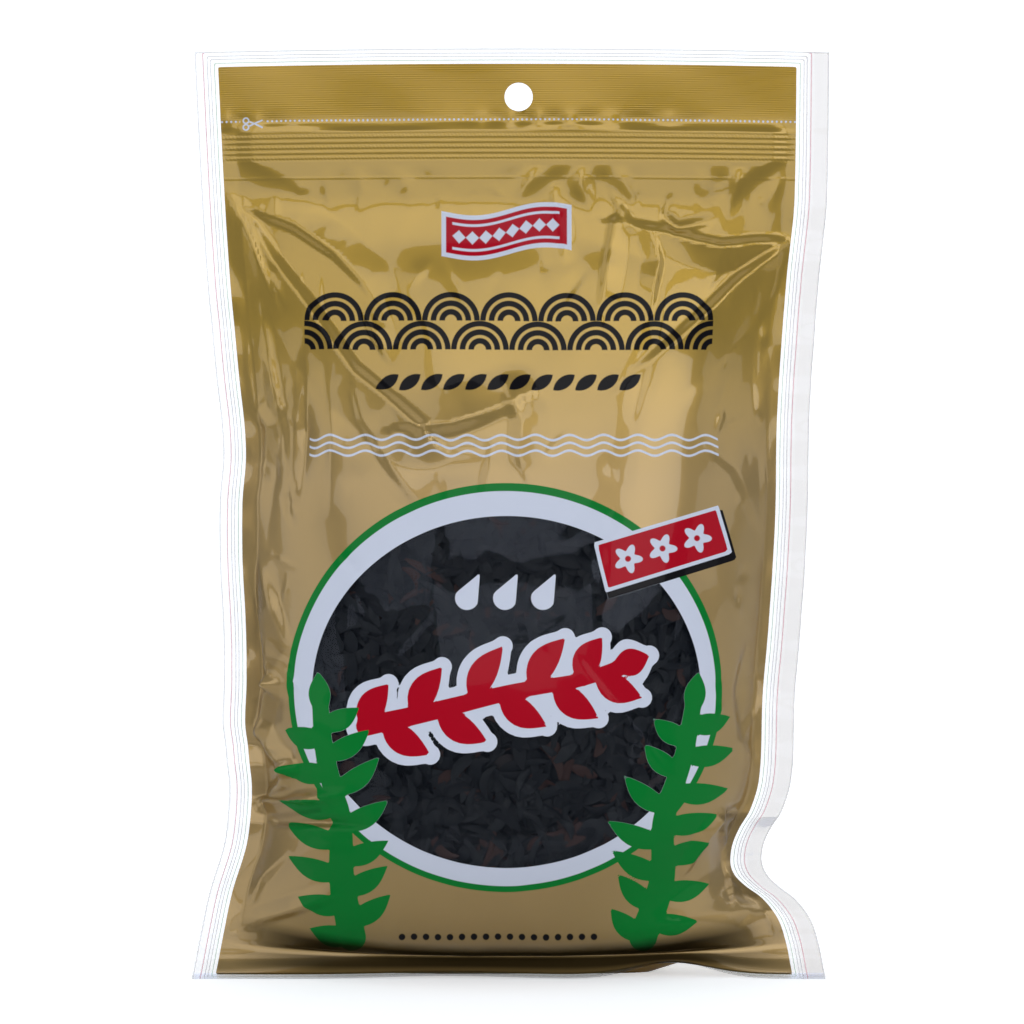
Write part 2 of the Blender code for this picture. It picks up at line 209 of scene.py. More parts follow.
def to_line(px, py, line):
    """Distance to a polyline, in pixels, the place along it of the nearest point, from 0 to 1, and on which
    side of it the point lies: true to the left of a line that runs down the picture."""
    best = np.full(px.shape, 1e9)
    place = np.zeros(px.shape)
    left = np.zeros(px.shape, bool)
    line = np.array(line, float)
    steps = np.hypot(*np.diff(line, axis=0).T)
    total, gone = steps.sum(), 0
    for (x0, y0), (x1, y1), step in zip(line[:-1], line[1:], steps):
        t = unit(((px - x0) * (x1 - x0) + (py - y0) * (y1 - y0)) / step**2)
        away = np.hypot(px - x0 - t * (x1 - x0), py - y0 - t * (y1 - y0))
        nearer = away < best
        best = np.where(nearer, away, best)
        place = np.where(nearer, (gone + t * step) / total, place)
        left = np.where(nearer, (x1 - x0) * (py - y0) > (y1 - y0) * (px - x0), left)
        gone += step
    return best, place, left


def fold(px, py, line, widths, height, start=0, end=0):
    """A creased fold: a tent of the given height over its line, whose flanks end at a width of their own to
    the left and to the right, and its height at the two ends as given."""
    away, place, left = to_line(px, py, line)
    rise = np.where(place < 0.5, start + (1 - start) * 2 * place, end + (1 - end) * 2 * (1 - place))
    flank = np.clip(1 - away / np.where(left, widths[0], widths[1]), 0, None)
    return height * rise * flank * (1 + 0.25 * flank)


def swelling(px, py, centre, radii, height, turn):
    """A soft rise: a bell over an ellipse."""
    c, s = math.cos(turn), math.sin(turn)
    dx, dy = px - centre[0], py - centre[1]
    a, b = (dx * c + dy * s) / radii[0], (dy * c - dx * s) / radii[1]
    return height * np.exp(-(a * a + b * b))


# The front's folds as the camera sees them, in its pixels: line, widths to its left and right, height in
# millimetres, and the share of it at the two ends
FOLDS = (
    (((236, 205), (252, 238), (266, 274), (272, 296)), (26, 4), 1.5, 0.9, 0.1),
    (((240, 205), (273, 259), (307, 302), (355, 371), (395, 404), (420, 427)), (44, 9), 2, 0.5, 0.8),
    (((420, 427), (452, 424), (478, 416), (512, 403)), (12, 40), 1.6, 0.8, 0.4),
    (((512, 403), (521, 420), (519, 470)), (12, 30), 0.9, 0.9, 0),
    (((245, 206), (295, 226), (335, 254), (362, 282), (374, 302)), (6, 30), 1.3, 0.5, 0.2),
    (((358, 300), (372, 330), (392, 368)), (5, 22), 0.9, 0.2, 0),
    (((356, 392), (362, 420), (392, 470), (420, 505)), (6, 30), 0.9, 0.3, 0),
    (((307, 357), (304, 420), (301, 505)), (9, 20), -1.7, 0.1, 0.1),
    (((262, 300), (270, 360), (282, 425), (286, 470)), (16, 7), 1.1, 0.1, 0.2),
    (((330, 380), (334, 440), (330, 520)), (9, 18), 0.8, 0, 0),
    (
        ((249, 286), (249, 371), (255, 407), (268, 427), (266, 457), (257, 520), (256, 545)),
        (7, 12), 1, 0.2, 0.3,
    ),
    (((254, 545), (262, 600), (271, 660), (274, 684)), (7, 19), 2.4, 0.1, 1),
    (((274, 684), (268, 705), (261, 731)), (12, 9), 2.4, 1, 1),
    (((261, 731), (274, 752), (287, 769)), (8, 13), 2.4, 1, 0.9),
    (((287, 769), (284, 783), (264, 803)), (8, 11), 2.1, 0.9, 0.7),
    (((264, 803), (300, 799), (330, 796), (352, 794)), (12, 8), 2.2, 0.9, 0.1),
    (((276, 822), (320, 823), (376, 826)), (5, 10), -1.6, 0.6, 0),
    (((258, 560), (274, 600), (290, 655)), (20, 6), 1.1, 0.1, 0.1),
    (((243, 928), (262, 920), (300, 908), (345, 893)), (7, 16), 1.4, 0.8, 0),
    (((250, 905), (262, 880), (290, 850)), (6, 20), 0.9, 0.2, 0),
    (
        ((788, 242), (755, 243), (721, 247), (690, 240), (671, 234), (640, 228), (612, 222)),
        (8, 26), 1.7, 1, 0.2,
    ),
    (((788, 245), (741, 278), (713, 306), (676, 340), (636, 373)), (8, 46), 2.1, 0.9, 0.1),
    (((785, 262), (775, 300), (770, 347), (777, 391), (770, 440)), (5, 10), -1, 0.6, 0.1),
    (((777, 391), (769, 471), (768, 560)), (10, 5), 1, 0.1, 0.1),
    (((614, 222), (607, 262), (600, 312)), (5, 20), 1.2, 0.8, 0),
    (((655, 240), (660, 262), (655, 284), (650, 320)), (18, 4), 1.1, 0.4, 0),
    (((553, 196), (560, 226), (566, 262)), (5, 16), 0.9, 0.8, 0),
    (((668, 200), (664, 216), (676, 230), (708, 222)), (5, 9), -0.9, 0.3, 0.3),
    (((612, 196), (622, 212), (630, 226)), (4, 9), 0.7, 0.4, 0.3),
    (((748, 640), (738, 690), (744, 748)), (6, 15), -1.2, 0, 0.1),
    (((768, 690), (752, 720), (742, 742)), (6, 12), 0.9, 0.3, 0.2),
    (((742, 742), (760, 770), (766, 800)), (12, 5), 0.8, 0.3, 0.2),
    (((723, 815), (706, 834), (686, 872)), (10, 4), 2, 0.9, 0.1),
    (((722, 834), (727, 866), (732, 893)), (4, 14), 1.5, 0.8, 0.6),
    (((723, 815), (742, 812), (762, 809)), (5, 10), -1.2, 0.7, 0.7),
    (((732, 893), (748, 895), (766, 893)), (9, 5), -1.2, 0.7, 0.7),
    (((345, 556), (352, 566), (362, 571)), (7, 7), -0.7, 0.2, 0),
    (((560, 640), (610, 700), (690, 800)), (30, 6), 0.5, 0, 0),
    (((690, 430), (735, 470), (765, 540)), (6, 30), 0.7, 0, 0),
)
# Soft rises and hollows: middle and radii in pixels, height in millimetres, and turn
SWELLINGS = (
    ((747, 372), (34, 70), -2, 0.2),
    ((330, 420), (28, 60), 0.9, -0.2),
    ((440, 350), (60, 60), 0.9, 0),
    ((560, 300), (34, 70), -0.6, 0.3),
    ((452, 468), (60, 20), -0.8, 0),
    ((640, 430), (80, 40), 0.6, 0),
    ((268, 470), (10, 40), -0.8, 0),
)

# Small creases by the seams, on the belly and under the zip: how many, then ranges in pixels of x, with
# the lean there, and of y, the lean's spread, and the ranges of length, width and height
CREASE_SEED = 11
CREASES = (
    (70, ((250, 300, 0.25), (716, 772, -0.25)), (250, 930), 0.35, (14, 46), (4, 10), (0.1, 0.42)),
    (46, ((290, 730, 0),), (230, 930), 0.7, (30, 90), (10, 24), (0.08, 0.3)),
    (44, ((250, 775, 0),), (162, 214), 0.4, (10, 34), (4, 11), (0.08, 0.3)),
)


def random_folds(px, py):
    """Small creases drawn by a seeded rule from the table: short near-vertical tents."""
    random = np.random.default_rng(CREASE_SEED)
    total = np.zeros(px.shape)
    for count, sides, heights, spread, *ranges in CREASES:
        for _ in range(count):
            side = sides[0] if len(sides) < 2 or random.random() < 0.5 else sides[1]
            x, y = random.uniform(*side[:2]), random.uniform(*heights)
            lean = random.normal(0, spread) + side[2]
            length, width, height = (random.uniform(*span) for span in ranges)
            dx, dy = math.sin(lean) * length / 2, math.cos(lean) * length / 2
            near = (np.abs(px - x) < length + width) & (np.abs(py - y) < length + width)
            line = ((x - dx, y - dy), (x + dx, y + dy))
            sign = 1 if random.random() < 0.5 else -1
            widths = (width, width * 0.4) if random.random() < 0.5 else (width * 0.4, width)
            total[near] += fold(px[near], py[near], line, widths, sign * height)
    return total


# About the mean of |sin|, taken off it
LOBE_MEAN = 0.64

# Crumples: wave vector's direction and length in pixels, height in mm and phase
CRUMPLES = (
    (0.12, 47, 0.26, 0.4),
    (-0.35, 83, 0.34, 1.9),
    (0.62, 66, 0.22, 2.7),
    (-0.8, 118, 0.36, 0.9),
    (1.25, 96, 0.2, 5.1),
    (0.3, 29, 0.1, 3.3),
)


def crumples(px, py):
    """Facets with straight creases between them: the sum of |sin| over the crumples' waves, each bent by
    a slow wave, and let up and down by another so that no crease runs right across."""
    total = np.zeros(px.shape)
    for number, (angle, length, height, phase) in enumerate(CRUMPLES):
        bent = px + 16 * np.sin(py / 71 + phase) + 7 * np.sin(py / 31 + 2 * phase)
        across = (bent * math.cos(angle) + py * math.sin(angle)) * math.pi / length
        along_wave = (py * math.cos(angle) - px * math.sin(angle)) / (52 + 9 * number)
        there = unit(0.5 + 0.9 * np.sin(along_wave + 3 * phase) * np.cos(across / 3.7 + phase))
        total += height * there * (LOBE_MEAN - np.abs(np.sin(across + phase)))
    return total


def relief(px, py):
    """Height of all the folds, in millimetres: the listed ones, the small creases, and crumples that are
    strongest beside the belly and low on it."""
    aside = unit((np.abs(px - PICTURE / 2) - 170) / 90)
    aside = aside * (0.45 + 0.55 * unit((py - 300) / 200))
    low = unit((py - 820) / 110)
    total = random_folds(px, py) + crumples(px, py) * (0.2 + 0.8 * np.maximum(aside, 0.75 * low))
    for line, widths, height, start, end in FOLDS:
        total += fold(px, py, line, widths, height, start, end)
    for centre, radii, height, turn in SWELLINGS:
        total += swelling(px, py, centre, radii, height, turn)
    return total


def header_waves(x, z):
    """Slack in the strip above the zip: two slow waves across it, larger towards its lower edge, and over
    the zip a row of |sin| lobes under a bell of the height, in patches."""
    slow = 0.3 * np.sin(x / 15 + 0.8 * np.sin(z / 9)) + 0.16 * np.sin(x / 6.3 + z / 7 + 1.2)
    bell = 0.6 * np.exp(-(((z - 247.4) / 1.9) ** 2))
    lobes = bell * (LOBE_MEAN - np.abs(np.sin(x / 3.6 + 1.6 * np.sin(x / 14))))
    patches = unit(0.5 + np.sin(x / 19 + 0.4))
    return slow * (0.3 + 0.7 * unit((264 - z) / 14)) + lobes * patches


def flutes(px, py):
    """Upright flutes under the zip, mostly on its right: |sin| of the place across, bent by a slow wave,
    under a bell of the height."""
    across = px / 15 + 1.5 * np.sin(px / 53) + 0.5 * np.sin(py / 15 + px / 40)
    there = np.exp(-(((py - 182) / 26) ** 2)) * (0.2 + 0.8 * unit((px - 400) / 90))
    patches = unit(0.6 + 0.7 * np.sin(px / 31 + 2))
    return there * patches * (LOBE_MEAN - np.abs(np.sin(across)))


def places(*runs):
    """Places along a line, from (end, steps) pairs that start at zero."""
    found, start = [0], 0
    for end, steps in runs:
        found.extend(np.linspace(start, end, steps + 1)[1:])
        start = end
    return np.array(found)


def grid_faces(rows, columns):
    """The quads between a grid's points."""
    index = np.arange(rows * columns).reshape(rows, columns)
    quads = np.stack([index[:-1, :-1], index[:-1, 1:], index[1:, 1:], index[1:, :-1]], axis=-1)
    return quads.reshape(-1, 4)


def linked(name, data):
    """A new object in the scene."""
    node = bpy.data.objects.new(name, data)
    bpy.context.scene.collection.objects.link(node)
    return node


def mesh_from(name, points, faces):
    """A smooth mesh of quads from points in millimetres."""
    mesh = bpy.data.meshes.new(name)
    mesh.vertices.add(len(points))
    mesh.vertices.foreach_set("co", (points * MM).ravel())
    mesh.loops.add(faces.size)
    mesh.loops.foreach_set("vertex_index", faces.ravel().astype(np.int32))
    mesh.polygons.add(len(faces))
    mesh.polygons.foreach_set("loop_start", np.arange(0, faces.size, faces.shape[1], dtype=np.int32))
    mesh.update(calc_edges=True)
    mesh.shade_smooth()
    return linked(name, mesh)


def keep(node, name, values):
    """A value at each vertex, as a named attribute."""
    attribute = node.data.attributes.new(name, "FLOAT", "POINT")
    attribute.data.foreach_set("value", values.astype(np.float32))


def lay(node, name, u, v):
    """A named UV map from two values at each vertex."""
    layer = node.data.uv_layers.new(name=name)
    corner = np.empty(len(node.data.loops), np.int32)
    node.data.loops.foreach_get("vertex_index", corner)
    layer.data.foreach_set("uv", np.stack([u[corner], v[corner]], axis=-1).ravel())


# The grid's places across the flat web and up it
ACROSS = places((LEFT_SEAL, 14), (WEB_WIDTH - RIGHT_SEAL, 222), (WEB_WIDTH, 14))
UP = places(
    (BOTTOM_SEAL, 24), (15, 12), (60, 76), (WEB_HEIGHT - 42, 186),
    (252, 10), (264, 48), (WEB_HEIGHT, 30),
)

# The share of the folds' height on the seals and how low they may go there, the back's share and the sum
# that mirrors it, and the w where folds, flutes and slack end
SEAL_SHARE = 0.55
SEAL_LOWEST = -0.3
BACK_SHARE = 0.6
MIRROR = 1020
FOLDS_END = WEB_HEIGHT - 36
FLUTES_END = WEB_HEIGHT - 33
SLACK_END = WEB_HEIGHT - 1

# The gold stops short of the web's left, right, lower and upper edges by these
MARGINS = (6.6, 9.4, 3.4, 4.4)


def depth_inside(s, w, left=0, right=0, bottom=0, top=0):
    """Distance on the flat web inside its edges, each moved in by a margin."""
    across = np.minimum(s - left, WEB_WIDTH - right - s)
    return np.minimum(across, np.minimum(w - bottom, WEB_HEIGHT - top - w))


def film_grid(front):
    """A web's grid with its folds: the places on the flat web, the points and where the camera sees them.
    Each point moves along its normal by the folds' height, in full on the belly, less on the front's
    printed seals and not at the ends, by the flutes, by the zip's ribs, a cosine of the height, and by
    the header's waves."""
    s, w = np.meshgrid(ACROSS, UP)
    points, belly = web(front, s, w)
    px, py = as_seen(points)
    seen_x = px if front else MIRROR - px
    height = relief(seen_x, py) * (1 if front else BACK_SHARE)
    depth = depth_inside(s, w, *MARGINS)
    free = unit(belly * 7)
    sealed = unit(unit(depth / 3) - free) * (SEAL_SHARE if front else 0)
    folds = height * free + np.maximum(height, SEAL_LOWEST) * sealed
    folds = folds * unit((w - BOTTOM_SEAL) / 14) * unit((FOLDS_END - w) / 12)
    hung = flutes(seen_x, py) * free * unit((FLUTES_END - w) / 4)
    z = w - ZIP_RISE
    ribs = RIB_HEIGHT * np.cos((z - ZIP_RIBS[1]) * 2 * math.pi / RIB_PITCH)
    ribs = ribs * np.interp(z, ZIP_RIBS, (0, 1, 1, 0)) * unit(depth / 2)
    header = unit((z - ZIP_RIBS[3]) / 1.5) * unit((SLACK_END - w) / 6)
    slack = header_waves(points[..., 0], z) * header * (1 if front else -0.96)
    outward = normals_of(points) * (1 if front else -1)
    points = points + outward * (folds + hung + ribs + slack)[..., None]
    points[..., 2] = np.maximum(points[..., 2], 0.05)
    return s, w, points, px, py


GRIDS = {front: film_grid(front) for front in (True, False)}


def film(name, front):
    """A web as one sheet on its grid, the quads inside the hang hole left out and its rim drawn onto the
    hole's circle."""
    s, w, points, px, py = GRIDS[front]
    faces = grid_faces(*s.shape)
    if not front:
        faces = faces[:, ::-1]
    flat = points.reshape(-1, 3).copy()
    off = flat[:, [0, 2]] - (HOLE_X, HOLE_Z)
    far = np.hypot(*off.T)
    faces = faces[(far[faces] > HOLE_RADIUS).any(axis=1)]
    rim = far < HOLE_RADIUS
    stretch = HOLE_RADIUS / np.maximum(far[rim], 1e-6)
    flat[rim, 0] = HOLE_X + off[rim, 0] * stretch
    flat[rim, 2] = HOLE_Z + off[rim, 1] * stretch
    used = np.unique(faces)
    renumber = np.zeros(len(flat), np.int64)
    renumber[used] = np.arange(len(used))
    node = mesh_from(name, flat[used], renumber[faces])
    s, w, px, py = (values.ravel()[used] for values in (s, w, px, py))
    lay(node, "OFBake", s / WEB_WIDTH, w / WEB_HEIGHT)
    lay(node, "Web", s * MM, w * MM)
    lay(node, "View", px * MM, py * MM)
    keep(node, "gold", depth_inside(s, w, *MARGINS))
    keep(node, "edge", depth_inside(s, w))
    return node, px, py, s, w


def disc(px, py, centre, radii):
    """Distance inside an ellipse, in pixels, close to its edge."""
    dx, dy = px - centre[0], py - centre[1]
    k = np.hypot(dx / radii[0], dy / radii[1])
    steep = np.hypot(dx / radii[0] ** 2, dy / radii[1] ** 2) / np.maximum(k, 1e-6)
    return (1 - k) / np.maximum(steep, 1e-6)


def stroke(px, py, line, first, last):
    """Distance inside a line drawn with a round pen whose half width goes from first to last."""
    away, place, _ = to_line(px, py, line)
    return first + (last - first) * place - away


def inside_outline(px, py, corners):
    """Distance inside a convex outline whose corners go round clockwise as seen."""
    corners = np.array(corners, float)
    inside = np.full(px.shape, 1e9)
    for (x0, y0), (x1, y1) in zip(corners, np.roll(corners, -1, axis=0)):
        length = math.hypot(x1 - x0, y1 - y0)
        inside = np.minimum(inside, ((x1 - x0) * (py - y0) - (y1 - y0) * (px - x0)) / length)
    return inside


def curve(points, count):
    """A smooth polyline through the points (Catmull and Rom's rule)."""
    points = np.array(points, float)
    padded = np.concatenate([2 * points[:1] - points[1:2], points, 2 * points[-1:] - points[-2:-1]])
    at = np.linspace(0, len(points) - 1, count)
    i = np.minimum(at.astype(int), len(points) - 2)
    t = (at - i)[:, None]
    a, b, c, d = (padded[i + k] for k in range(4))
    return ((2 * b) + (c - a) * t + (2 * a - 5 * b + 4 * c - d) * t**2 + (3 * b - a - 3 * c + d) * t**3) / 2


def leaf(px, py, line, neck, middle):
    """Distance inside a leaf along a line: half as wide as its neck's share (1 - p) and its middle's
    sin(pi p) at the place p, so that it ends in a point."""
    away, p, _ = to_line(px, py, line)
    return neck * (1 - p) + middle * np.sin(math.pi * p) - away


def frond(px, py, spine, pairs, reach, lean, stem, pen):
    """A seaweed frond: a tapering stem with pointed leaves that lean towards its tip, and one at the tip.
    The stem gives the half widths of its ends, the pen those of a leaf's neck and middle."""
    spine = curve(spine, 60)
    ink = stroke(px, py, spine, *stem)
    for k in range(pairs):
        for side in (-1, 1):
            i = min(int((k + 0.3 + 0.22 * side) / pairs * 56), 56)
            root, ahead = spine[i], spine[i + 2] - spine[i]
            ahead = ahead / np.hypot(*ahead)
            out = np.array([-ahead[1], ahead[0]]) * side
            far = reach * (0.74 + 0.26 * math.sin(math.pi * (k + 0.8) / pairs))
            far = far * (1 + 0.08 * math.sin(5 * k + side))
            bend = root + out * far * 0.5 + ahead * far * lean * 0.3
            line = curve([root, bend, root + out * far + ahead * far * lean], 12)
            ink = np.maximum(ink, leaf(px, py, line, *pen))
    ahead = (spine[-1] - spine[-4]) / np.hypot(*(spine[-1] - spine[-4]))
    return np.maximum(ink, leaf(px, py, [spine[-4], spine[-1] + ahead * reach * 0.55], *pen))


# The large print, in pixels of the view: middles and radii, the tag's corners, the drops' middles, and
# the lines of the fronds
WINDOW = ((506.5, 692), (194.5, 176))
RING = ((505, 688.5), (211, 197.5))
RIM = ((505, 687.5), (217, 204.5))
TAG = ((594, 543), (718, 506), (732, 553), (606, 592))
TAG_MIDDLE = (662.5, 548.5)
TAG_TURN = -0.29
DROPS = ((470, 592), (508, 592), (546, 592))
RED_FROND = ((366, 726), (430, 712), (512, 692), (580, 680), (626, 664))
LEFT_KELP = ((352, 937), (342, 880), (340, 820), (325, 755), (320, 700))
RIGHT_KELP = ((643, 937), (662, 880), (664, 820), (684, 755), (694, 700))


def print_layers(px, py):
    """The front's large print, each ink's distance inside its shapes, in pixels of the view."""
    red = frond(px, py, RED_FROND, 5, 45, 0.85, (10, 6), (7, 10))
    kelp = frond(px, py, LEFT_KELP, 7, 52, 0.4, (14, 8), (6, 7.6))
    kelp = np.maximum(kelp, frond(px, py, RIGHT_KELP, 7, 52, 0.4, (14, 8), (6, 7.6)))
    drops = np.full(px.shape, -99.0)
    for x, y in DROPS:
        drops = np.maximum(drops, stroke(px, py, ((x + 9, y - 17), (x - 3, y + 6)), 1, 12))
    tag = inside_outline(px, py, TAG)
    return {
        "rim": disc(px, py, *RIM),
        "ring": disc(px, py, *RING),
        "window": disc(px, py, *WINDOW),
        "outline": red + 10,
        "red": red,
        "white": drops,
        "shade": inside_outline(px - 3.4, py - 5.4, TAG) + 1.5,
        "tag_edge": tag + 0.5,
        "tag": tag - 3.2,
        "kelp": kelp,
    }


def operation(kind):
    """A method of Nodes that puts in a maths node of the kind."""
    return lambda self, a, b=0, clamp=False: self.math(kind, a, b, clamp)


class Nodes:
    """Short ways to put shader nodes together."""

    def __init__(self, name):
        self.material = bpy.data.materials.new(name)
        self.material.use_nodes = True
        self.tree = self.material.node_tree
        self.shader = self.tree.nodes["Principled BSDF"]
        self.out = self.tree.nodes["Material Output"]

    def node(self, kind, **settings):
        node = self.tree.nodes.new(kind)
        for key, value in settings.items():
            setattr(node, key, value)
        return node

    def put(self, socket, value):
        if isinstance(value, bpy.types.NodeSocket):
            self.tree.links.new(value, socket)
        elif isinstance(value, tuple) and len(value) == 3 and socket.type == "RGBA":
            socket.default_value = (*value, 1)
        else:
            socket.default_value = value

    def math(self, kind, a, b=0, clamp=False):
        node = self.node("ShaderNodeMath", operation=kind, use_clamp=clamp)
        self.put(node.inputs[0], a)
        self.put(node.inputs[1], b)
        return node.outputs[0]

    def attribute(self, name):
        return self.node("ShaderNodeAttribute", attribute_name=name).outputs["Fac"]

    plus, less, times, over = map(operation, ("ADD", "SUBTRACT", "MULTIPLY", "DIVIDE"))
    least, most, size = map(operation, ("MINIMUM", "MAXIMUM", "ABSOLUTE"))
    sine, zigzag = map(operation, ("SINE", "PINGPONG"))

    def mixed(self, kind, first, factor, a, b):
        node = self.node("ShaderNodeMix", data_type=kind)
        for k, value in ((0, factor), (first, a), (first + 1, b)):
            self.put(node.inputs[k], value)
        return node

    def mix(self, factor, a, b):
        return self.mixed("RGBA", 6, factor, a, b).outputs[2]

    def mix_value(self, factor, a, b):
        return self.mixed("FLOAT", 2, factor, a, b).outputs[0]

    def mix_shaders(self, factor, a, b):
        node = self.node("ShaderNodeMixShader")
        for k, value in enumerate((factor, a, b)):
            self.put(node.inputs[k], value)
        return node.outputs[0]

    def look(self, **values):
        """Sets the main shader's inputs, each named with _ for a space."""
        for name, value in values.items():
            self.put(self.shader.inputs[name.replace("_", " ")], value)

    def edge(self, depth, soft=1):
        """1 where a depth inside a shape is positive, 0 outside, over a soft edge in the depth's unit."""
        return self.plus(self.times(depth, 1 / soft), 0.5, clamp=True)

    def ink(self, name, soft=0.6):
        """The edge of a depth that is kept as an attribute."""
        return self.edge(self.attribute(name), soft)

    def place(self, name):
        """The two coordinates of a UV map, brought back to the unit it was laid in."""
        split = self.node("ShaderNodeSeparateXYZ")
        self.put(split.inputs[0], self.node("ShaderNodeUVMap", uv_map=name).outputs[0])
        return [self.over(split.outputs[k], MM) for k in (0, 1)]

    def cell(self, value, first, pitch):
        """How far a value is past the nearest of first, first + pitch, first + 2 pitch and so on."""
        turns = self.plus(self.over(self.less(value, first), pitch), 0.5)
        return self.times(self.less(self.math("FRACT", turns), 0.5), pitch)

    def within(self, value, low, high):
        """How deep a value is inside a range."""
        return self.least(self.less(value, low), self.less(high, value))

    def length(self, x, y):
        return self.math("SQRT", self.plus(self.times(x, x), self.times(y, y)))

    def turned(self, x, y, centre, angle):
        """Coordinates along and across a direction through the centre."""
        dx, dy = self.less(x, centre[0]), self.less(y, centre[1])
        c, s = math.cos(angle), math.sin(angle)
        u = self.plus(self.times(dx, c), self.times(dy, s))
        v = self.less(self.times(dy, c), self.times(dx, s))
        return u, v

    def bar(self, x, y, start, end, half):
        """Depth inside a round-ended bar from start to end."""
        run = (end[0] - start[0], end[1] - start[1])
        u, v = self.turned(x, y, start, math.atan2(run[1], run[0]))
        beyond = self.less(u, self.least(self.most(u, 0), math.hypot(*run)))
        return self.less(half, self.length(beyond, v))


# Colours of the gold, paler low down as painted light on the lower belly, and richer on the top weld,
# between two heights w each
GOLD = (0.43, 0.265, 0.036)
PALE_GOLD = (0.4, 0.26, 0.09)
RICH_GOLD = (0.42, 0.245, 0.008)
PALE_RAMP = (160, 205)
RICH_RAMP = (262, 268)

# Colours of the film's cut rim and of the inks, and what passes the clear film and the haze of its right
# margin, which lies between two places s
RIM_COLOUR = (0.8, 0.8, 0.8)
CLEAR = (0.975, 0.975, 0.975)
HAZE = (0.885, 0.87, 0.857)
HAZE_BAND = (177, 190)
INKS = {
    "black": (0.004, 0.003, 0.004),
    "green": (0, 0.2, 0.026),
    "white": (0.69, 0.72, 0.82),
    "red": (0.46, 0, 0.012),
    "panel": (0.6, 0.56, 0.44),
}

# The thin lines past the gold's edge: how far past it, width and colour
HAIRLINES = (
    (1.1, 0.22, (0.5, 0.8, 0.55)),
    (2.2, 0.2, (0.75, 0.75, 0.78)),
    (3.1, 0.2, (0.7, 0.7, 0.75)),
    (4.3, 0.26, (1, 0.4, 0.5)),
)

# The dotted tear line: w, first dot, pitch, dot radius, and the gap round the scissors, in x of the view
TEAR_LINE = 265
TEAR_FIRST = 7
TEAR_PITCH = 1.32
TEAR_DOT = 0.3
TEAR_GAP = (240, 264)

# The sealing bars' marks: on the top weld ridges, over the zip rows of teeth, and a line, by their w and
# pitches; the rows have a middle and half a pitch
CRIMP_BAND = (266, 284)
CRIMP_PITCH = 0.62
TEETH_BAND = (253.4, 263)
TEETH_PITCH = 1.1
TEETH_ROWS = (254.2, 1.6)
WELD_LINE = 248.6
BUMP_HEIGHT = 0.012

# The fish-scale band, in pixels of the view: first scale, pitch, how many, and the base lines of its rows
SCALE_FIRST = 335
SCALE_PITCH = 58
SCALE_COUNT = 7
SCALE_BASES = (321, 350)
SCALE_RADIUS = 26.1
SCALE_GAP = 8.7
SCALE_HALF = 2.8


def scale_band(n, x, y):
    """Fish-scale waves: in each row fans of evenly spaced rings round points on its base line, the lower
    row, half a pitch on, in front of the upper."""
    ends = (SCALE_FIRST - SCALE_PITCH / 2, SCALE_FIRST + (SCALE_COUNT - 0.5) * SCALE_PITCH)
    inked = 0
    for row, base in enumerate(SCALE_BASES):
        dx = n.cell(x, SCALE_FIRST + SCALE_PITCH / 2 * row, SCALE_PITCH)
        away = n.length(dx, n.less(y, base))
        ring = n.zigzag(n.less(away, SCALE_RADIUS), SCALE_GAP / 2)
        ring = n.edge(n.least(n.less(SCALE_HALF, ring), n.less(away, 4)))
        reach = n.less(SCALE_RADIUS + SCALE_HALF, away)
        cover = n.edge(n.least(reach, n.less(base, y)))
        inked = n.mix_value(cover, inked, ring)
    return n.times(inked, n.edge(n.within(x, *ends)))


def leaf_row(n, x, y):
    """A row of slanted pointed leaves: each what two circles share, their centres either side of it."""
    dx = n.cell(x, 388, 22)
    u, v = n.turned(dx, y, (0, 382.5), -0.62)
    away = n.length(u, n.plus(n.size(v), 11.5))
    return n.times(n.edge(n.less(17.5, away)), n.edge(n.within(x, 377, 641)))


def dot_row(n, x, y):
    dx = n.cell(x, 402, 12)
    away = n.length(dx, n.less(y, 937))
    return n.times(n.edge(n.less(3.3, away)), n.edge(n.within(x, 396, 600)))


def ripples(n, x, y):
    """Three thin lines one above the other, each a sine along the view."""
    wave = n.times(n.sine(n.times(x, 2 * math.pi / 34)), 2.6)
    rise = n.less(n.less(y, 445.5), wave)
    line = n.less(1.15, n.zigzag(rise, 3.9))
    inside = n.least(n.within(rise, -10, 10), n.within(x, 308, 718))
    return n.times(n.edge(line), n.edge(inside))


def ribbon(n, x, y):
    """A waving ribbon: its depth inside, and the white stripes and diamonds on it."""
    wave = n.times(n.sine(n.times(n.less(x, 446), 0.049)), 5)
    middle = n.less(wave, n.times(n.less(x, 506), 0.05))
    v = n.less(n.less(y, 231.5), middle)
    depth = n.least(n.within(v, -18, 18), n.within(x, 446, 567))
    stripe = n.less(1.3, n.size(n.less(n.size(v), 12.4)))
    dx = n.cell(x, 459, 13.4)
    diamond = n.less(6.6, n.plus(n.size(dx), n.size(v)))
    marks = n.most(n.edge(stripe), n.edge(n.times(diamond, 0.7)))
    return depth, n.times(marks, n.edge(n.within(x, 452.3, 559.5)))


def blossoms(n, x, y):
    """Three five-petalled flowers along the tag, each a circle whose radius goes round as a cosine."""
    u, v = n.turned(x, y, TAG_MIDDLE, TAG_TURN)
    du = n.cell(u, 0, 36)
    petals = n.math("COSINE", n.times(n.math("ARCTAN2", du, v), 5))
    away = n.length(du, v)
    flower = n.edge(n.less(n.plus(n.times(petals, 3.4), 11.4), away))
    eye = n.edge(n.less(away, 3))
    return n.times(n.times(flower, eye), n.edge(n.within(u, -54, 54)))


